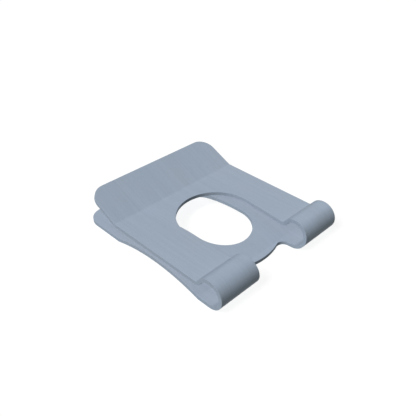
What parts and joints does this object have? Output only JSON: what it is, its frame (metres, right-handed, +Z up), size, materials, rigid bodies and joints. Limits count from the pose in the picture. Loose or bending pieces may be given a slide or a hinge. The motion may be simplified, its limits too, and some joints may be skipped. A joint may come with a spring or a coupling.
{
  "type": "retaining clip",
  "caption": "Spring clip folded from one steel strip: flat upper leaf with an open pin hole, raised lip, two rolls and an arched lower leaf that locks a grooved pin.",
  "frame": {"origin": "centre of the pin hole, in the upper leaf's top face", "axes": "+X from the pin hole towards the rolls, +Y across the strip, +Z up along the pin, away from the lower leaf"},
  "size_m": [0.024, 0.02, 0.0047],
  "materials": {
    "spring_steel": "matte"
  },
  "bodies": {
    "root": {"retaining_clip": "spring_steel"}
  },
  "joints": []
}
